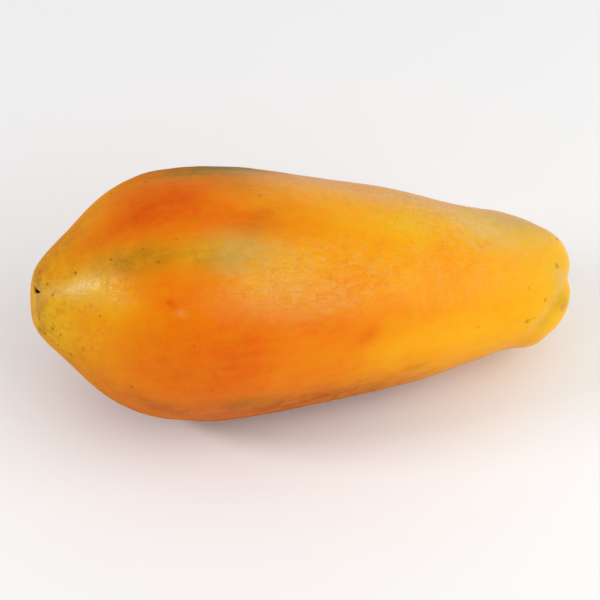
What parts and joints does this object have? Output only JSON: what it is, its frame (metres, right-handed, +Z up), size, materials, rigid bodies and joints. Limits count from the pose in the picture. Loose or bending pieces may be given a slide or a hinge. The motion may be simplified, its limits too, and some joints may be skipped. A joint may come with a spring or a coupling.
{
  "type": "papaya",
  "caption": "Whole ripe papaya, long and pear-shaped, lying on its side on a small flat spot under the belly, with a lobed neck end and a blunt blossom end.",
  "frame": {"origin": "middle of the fruit's footprint box, on the surface that it rests on", "axes": "+X along the fruit from the blossom end to the neck end, +Z up, so +Y is the side turned away from the viewer"},
  "size_m": [0.2751, 0.1265, 0.1281],
  "materials": {
    "papaya_skin": "satin"
  },
  "bodies": {
    "root": {"papaya": "papaya_skin"}
  },
  "joints": []
}
